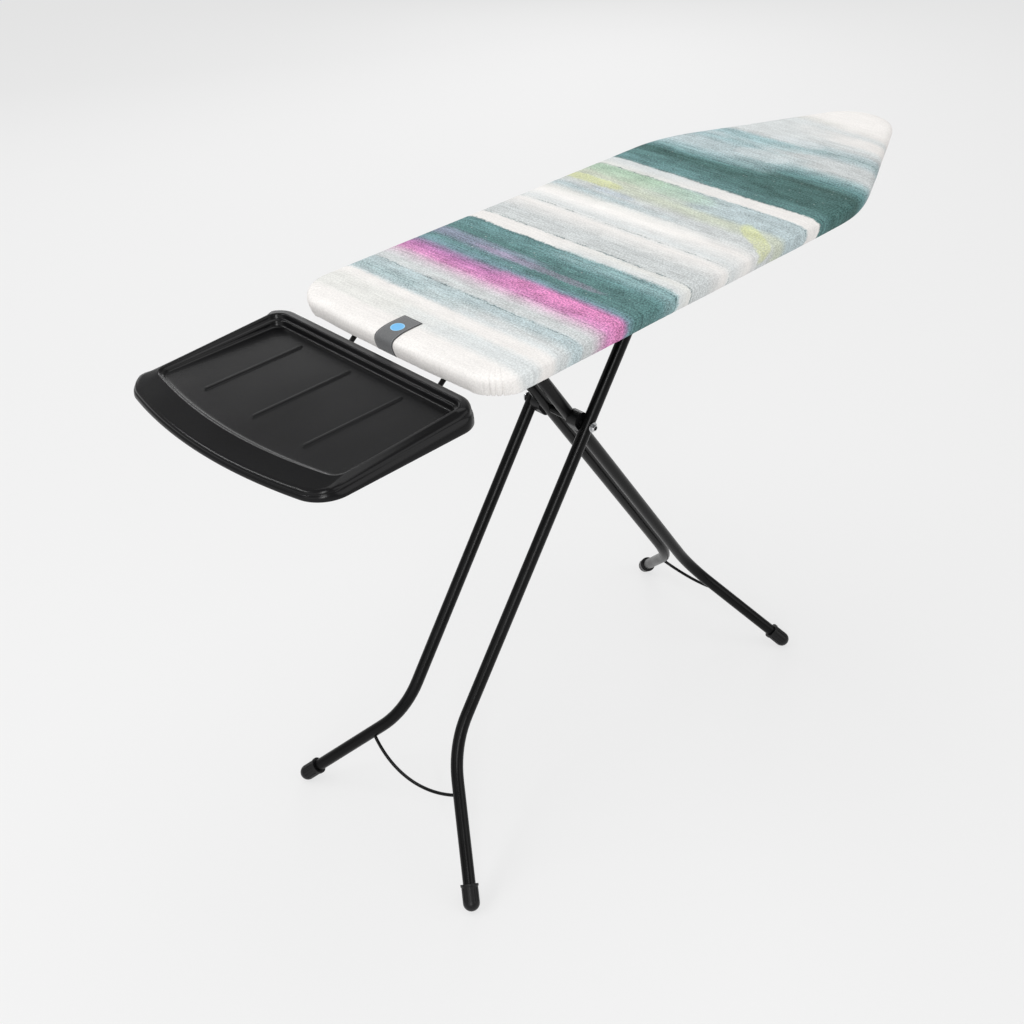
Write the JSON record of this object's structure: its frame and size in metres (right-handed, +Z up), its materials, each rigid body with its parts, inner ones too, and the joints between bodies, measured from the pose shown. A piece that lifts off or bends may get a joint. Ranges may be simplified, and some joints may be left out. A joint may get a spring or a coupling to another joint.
{
  "type": "ironing board with steam-unit tray",
  "caption": "Folding ironing board: padded tapered deck with printed cover on crossed, splayed tube legs, with a moulded tray at the square end.",
  "frame": {"origin": "on the floor under the middle of the whole length, tray to nose", "axes": "+X along the board towards its round nose, +Y across, +Z up"},
  "size_m": [1.576, 0.4776, 0.98],
  "materials": {
    "cover_cotton": "printed cotton, plain weave",
    "label_woven": "woven label",
    "pad_felt": "needled felt",
    "deck_paint": "grey powder coat",
    "leg_black": "gloss black powder coat",
    "foot_plastic": "ribbed soft plastic",
    "fitting_plastic": "moulded, fine satin",
    "nylon_white": "natural nylon",
    "zinc_steel": "zinc plated",
    "nut_chrome": "bright chrome",
    "tray_plastic": "moulded, fine satin texture"
  },
  "bodies": {
    "board": {"cover": "cover_cotton", "cover_label": "label_woven", "pad": "pad_felt", "deck_panel": "deck_paint", "deck_rim": "deck_paint", "crossbar_tail": "deck_paint", "crossbar_hinge": "deck_paint", "crossbar_mid": "deck_paint", "crossbar_front": "deck_paint", "crossbar_nose": "deck_paint", "slide_rail_near": "deck_paint", "slide_rail_far": "deck_paint", "hinge_bracket": "deck_paint", "tray_socket_near": "deck_paint", "tray_socket_far": "deck_paint", "lever_bracket": "deck_paint", "lever_pin": "zinc_steel", "lever_spring": "zinc_steel"},
    "inner_legs": {"inner_tube_near": "leg_black", "inner_tube_far": "leg_black", "inner_foot_near": "foot_plastic", "inner_foot_far": "foot_plastic", "inner_top_plugs": "fitting_plastic", "inner_brace": "leg_black", "hinge_axle": "leg_black", "hinge_clips": "leg_black", "hinge_washers": "nylon_white", "pivot_axle": "leg_black", "pivot_nuts": "nut_chrome", "pivot_washers": "zinc_steel", "pivot_sleeve": "leg_black", "pivot_spacers": "fitting_plastic"},
    "outer_legs": {"outer_tube_near": "leg_black", "outer_tube_far": "leg_black", "outer_foot_near": "foot_plastic", "outer_foot_far": "foot_plastic", "outer_top_plugs": "fitting_plastic", "outer_brace": "leg_black", "pivot_bushes": "fitting_plastic", "top_bar": "zinc_steel", "bar_glides": "nylon_white"},
    "release_lever": {"lever_arm": "leg_black", "lever_grip": "fitting_plastic", "lock_strip": "zinc_steel"},
    "tray_rest": {"tray": "tray_plastic", "tray_rod_near": "leg_black", "tray_rod_far": "leg_black", "tray_rod_tie": "leg_black", "tray_clips": "fitting_plastic", "tray_screws": "zinc_steel"}
  },
  "joints": [
    {"name": "fold", "type": "hinge", "parent": "board", "child": "inner_legs", "pos_m": [-0.25552, 0, 0.92466], "axis": [0, -1, 0], "range_deg": [0, 53.1]},
    {"name": "leg_cross", "type": "hinge", "parent": "inner_legs", "child": "outer_legs", "pos_m": [-0.0945, 0, 0.6895], "axis": [0, 1, 0], "range_deg": [0, 106.2]},
    {"name": "lever_squeeze", "type": "hinge", "parent": "board", "child": "release_lever", "pos_m": [0.02, 0.034, 0.942], "axis": [-1, 0, 0], "range_deg": [0, 4], "stiffness_Nm_per_rad": 2, "springref_deg": -14.32},
    {"name": "tray_pull", "type": "slide", "parent": "board", "child": "tray_rest", "axis": [-1, 0, 0], "range_m": [0, 0.08]}
  ],
  "couplings": [
    {"joint": "leg_cross", "follows": "fold", "ratio": 2}
  ]
}
